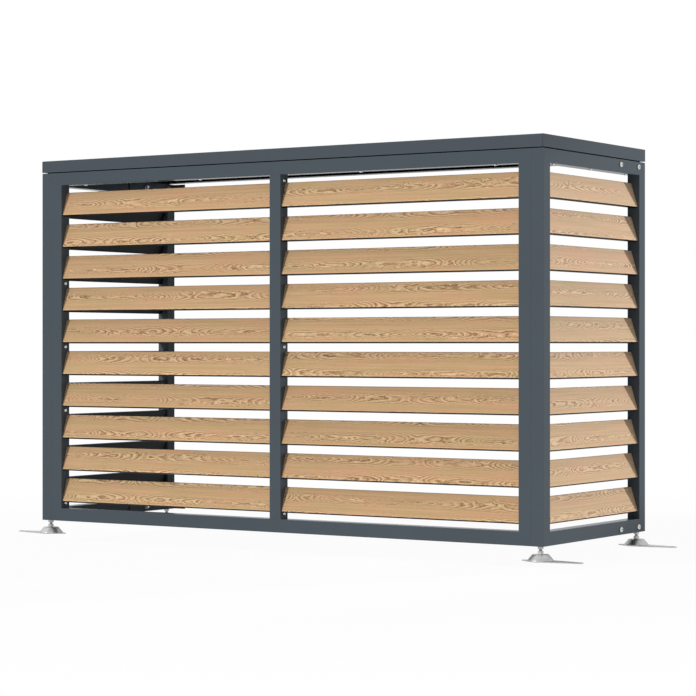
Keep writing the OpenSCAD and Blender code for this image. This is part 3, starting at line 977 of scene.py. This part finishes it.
# Painted shade inside a hex socket: the faces that its key touches get a darker, duller finish
def shadeSocket(screw, settings):
    screw.data.materials.clear()
    screw.data.materials.append(finishes[settings["finish"]])
    screw.data.materials.append(finishes["socket"])
    slack, rim, down = (socketSearch[key] for key in ("slack", "rim", "down"))
    reach = settings["socket"] / math.sqrt(3) / 1000 + slack
    floor = (settings["socketDepth"] - settings["height"]) / 1000 + slack
    activate(screw)
    bpy.ops.object.mode_set(mode="EDIT")
    bpy.ops.mesh.select_all(action="DESELECT")
    mesh = bmesh.from_edit_mesh(screw.data)
    for face in mesh.faces:
        inside = all(
            math.hypot(vert.co.x, vert.co.y) < reach and vert.co.z < floor for vert in face.verts
        )
        outside = face.normal.z < down and face.calc_center_median().z < floor - rim
        face.select = inside and not outside
    bmesh.update_edit_mesh(screw.data)
    screw.active_material_index = 1
    bpy.ops.object.material_slot_assign()
    bpy.ops.object.mode_set(mode="OBJECT")


def makeScrew(settings, shapes):
    shank, length, head, height = (settings[key] for key in ("shank", "length", "head", "height"))
    rings = [(head * wide, -height * low) for wide, low in shapes["headRings"]]
    body = turned(rings + [
        (shank, 0.0),
        (shank, length - shapes["pointHeight"]),
        (shank - shapes["pointCut"], length),
    ], sides=shapes["headSides"])
    key = hexBar(settings["socket"], -height - 1.0, settings["socketDepth"] - height)
    carve(body, key, "DIFFERENCE")
    shadeSocket(body, settings)
    parts = [body]
    if "insertAt" in settings:
        low, outer = settings["insertAt"] + 0.02, shank + shapes["insertRim"]
        wall, bulge = low + settings["insertWall"], outer + shapes["insertBulge"]
        parts.append(turned([
            (outer, low),
            (outer, wall),
            (bulge, wall + 0.3),
            (bulge, wall + 3.2),
            (outer, wall + 4.4),
            (outer, low + 10.9),
        ], sides=shapes["insertSides"]))
    if "nutAt" in settings:
        low, nut, flange = settings["nutAt"], settings["nut"], settings["flange"]
        top = low + settings["flangeRim"]
        parts.append(turned([
            (flange - 0.2, low),
            (flange, low + 0.3),
            (flange, top),
            (flange - 0.5, top + 0.4),
            (nut * 0.46, top + 1.4),
        ]))
        parts.append(turnedHex(nut, low + 0.6, low + settings["nutHeight"], 0.9))
        threadLow, threadHigh = (length - drop for drop in shapes["threadRange"])
        parts.append(wound(
            shank + shapes["threadLift"],
            shapes["threadDepth"],
            shapes["threadPitch"],
            threadLow,
            threadHigh,
            shapes["threadSteps"],
        ))
    return joined(parts)


# The shared places of screws, from the frame's own corners, in metres
lowPost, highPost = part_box("left_rear_stile")
lowLeftStile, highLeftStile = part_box("front_left_stile")
_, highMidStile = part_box("front_mid_stile")
lowSlat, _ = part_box("front_left_slat_01")
screwPlaces = {
    "belowSlat": 0.00321,
    "lidFrontOuter": 0.750,
    "lidFrontInner": 0.295,
    "lidSideEnd": 0.231,
    "boltFromRear": 0.045,
    "boltSpacing": 0.119,
    "boltFromEdge": 0.016,
}


# One kind of screw at each of its spots. A spot is the piece's name, its place and its turn about Y
def placeScrews(kind, node, spots):
    settings = screwSettings[kind]
    master = makeScrew(settings, screwShapes)
    for name, place, turn in spots:
        dress(copyTo(master, name, place, turn), settings["finish"], "zinc_steel", "frame", node)
    bpy.data.objects.remove(master)


def makeScrews(places):
    frontLine = (lowLeftStile.y + highLeftStile.y) / 2
    sideLine = (lowPost.x + highPost.x) / 2
    bottom, top = lowPost.z, highPost.z
    tube = highPost.x - lowPost.x
    middle = (bottom + top) / 2
    nearEnd = lowSlat.z - bottom - places["belowSlat"]
    twoSlats = 2 * slatSettings["pitch"]

    panelSpots = []
    for i, height in enumerate((bottom + nearEnd, middle - twoSlats, middle, middle + twoSlats), 1):
        panelSpots.append((f"left_panel_screw_{i}", (highLeftStile.x, frontLine, height), -90))
        panelSpots.append((f"right_panel_screw_{i}", (-highLeftStile.x, frontLine, height), 90))
    placeScrews("panel", "panel_fasteners", panelSpots)

    midHeights = (bottom + nearEnd, middle, top - nearEnd)
    placeScrews("mid", "panel_fasteners", [
        (f"mid_stile_screw_{i}", (highMidStile.x, frontLine, height), -90)
        for i, height in enumerate(midHeights, 1)
    ])

    under = top - tube
    lidSpots = [
        (way * x, frontLine, under)
        for x in (places["lidFrontOuter"], places["lidFrontInner"])
        for way in (-1, 1)
    ]
    lidSpots += [
        (way * sideLine, y, under)
        for y in (-places["lidSideEnd"], 0, places["lidSideEnd"])
        for way in (-1, 1)
    ]
    placeScrews("lid", "lid_fasteners", [
        (f"lid_screw_{i:02d}", place, 0) for i, place in enumerate(lidSpots, 1)
    ])

    rearBolt = highPost.y - places["boltFromRear"]
    boltSpots = [
        ((x, y, height), turn)
        for height in (bottom + places["boltFromEdge"], top - places["boltFromEdge"])
        for y in (rearBolt, rearBolt - places["boltSpacing"])
        for x, turn in ((lowPost.x, 90), (-lowPost.x, -90))
    ]
    placeScrews("bracket", "bracket_fasteners", [
        (f"bracket_bolt_{i}", place, turn) for i, (place, turn) in enumerate(boltSpots, 1)
    ])


makeScrews(screwPlaces)
print("screws made")


# Floor and surroundings: white to the eye, so the floor runs into the background without a line
stageSettings = {
    "floorSize": 80.0,
    "floorZ": -0.0255,
    "floorColour": paint(225, 225, 225),
    "eyeWhiteNear": 0.96,
    "fadeFrom": 1.4,
    "fadeTo": 3.4,
    "sky": 0.30,
}


# 1 where the camera looks, straight or by a mirror or through glass, and 0 for light on its way
def seenByCamera(sheet):
    rays = sheet.put("ShaderNodeLightPath")
    outputs = rays.socket.node.outputs
    names = ("Is Camera Ray", "Is Glossy Ray", "Is Transmission Ray")
    direct, mirrored, through = (Value(sheet, outputs[name]) for name in names)
    return direct.orLarger(mirrored).orLarger(through)


def makeFloor(settings):
    bpy.ops.object.select_all(action="DESELECT")
    bpy.ops.mesh.primitive_plane_add(size=settings["floorSize"], location=(0, 0, settings["floorZ"]))
    bpy.ops.object.transform_apply(location=True, rotation=True, scale=True)
    floor = bpy.context.object
    floor.name = "floor"
    sheet = Sheet("floorWhite")
    matt = sheet.put("ShaderNodeBsdfDiffuse", None, {"Color": settings["floorColour"]})
    glow = sheet.put("ShaderNodeEmission", None, {"Color": (1, 1, 1, 1), "Strength": 1.0})
    x, y, _ = sheet.split(sheet.place())
    away = (x * x + y * y).root().ramp(settings["fadeFrom"], settings["fadeTo"])
    near = settings["eyeWhiteNear"]
    share = seenByCamera(sheet) * (away * (1.0 - near) + near)
    sheet.finishWith(sheet.put("ShaderNodeMixShader", None, [share, matt, glow]))
    floor.data.materials.append(sheet.holder)


def makeSky(settings):
    world = bpy.context.scene.world or bpy.data.worlds.new("studio")
    bpy.context.scene.world = world
    sheet = Sheet("studio", world)
    strength = seenByCamera(sheet) * (1.0 - settings["sky"]) + settings["sky"]
    sky = sheet.put("ShaderNodeBackground", None, {"Color": (1, 1, 1, 1), "Strength": strength})
    sheet.put("ShaderNodeOutputWorld", None, {"Surface": sky})


makeFloor(stageSettings)
makeSky(stageSettings)
print("floor and sky made")


# Lamps. Directions point from the object to the lamp: degrees round from the front, to the left
# where negative, and degrees up
lampSettings = {
    "key": {"round": -27.0, "up": 36.0, "strength": 2.06, "softness": 2.0},
    "rim": {"round": 154.0, "up": 14.0, "distance": 12.0, "aim": (0.93, 0.0, 0.62), "size": 0.12,
            "power": 5850.0, "cone": 6.4, "coneSoft": 0.1},
}


def directionTo(lamp):
    turn, rise = math.radians(lamp["round"]), math.radians(lamp["up"])
    return Vector((math.sin(turn) * math.cos(rise), -math.cos(turn) * math.cos(rise), math.sin(rise)))


def makeSun(name, lamp):
    data = bpy.data.lights.new(name, "SUN")
    data.energy = lamp["strength"]
    data.angle = math.radians(lamp["softness"])
    sun = bpy.data.objects.new(name, data)
    sun.rotation_euler = directionTo(lamp).to_track_quat("Z", "Y").to_euler()
    bpy.context.scene.collection.objects.link(sun)


# A spotlight behind the right-hand side: its narrow beam only grazes that side
def makeSpot(name, lamp):
    data = bpy.data.lights.new(name, "SPOT")
    data.energy = lamp["power"]
    data.shadow_soft_size = lamp["size"]
    data.spot_size = math.radians(lamp["cone"])
    data.spot_blend = lamp["coneSoft"]
    spot = bpy.data.objects.new(name, data)
    towards = directionTo(lamp)
    spot.location = Vector(lamp["aim"]) + towards * lamp["distance"]
    spot.rotation_euler = towards.to_track_quat("Z", "Y").to_euler()
    spot.visible_glossy = False
    bpy.context.scene.collection.objects.link(spot)


makeSun("keyLamp", lampSettings["key"])
makeSpot("rimLamp", lampSettings["rim"])
bpy.context.scene.view_settings.view_transform = "Standard"
print("lamps made")
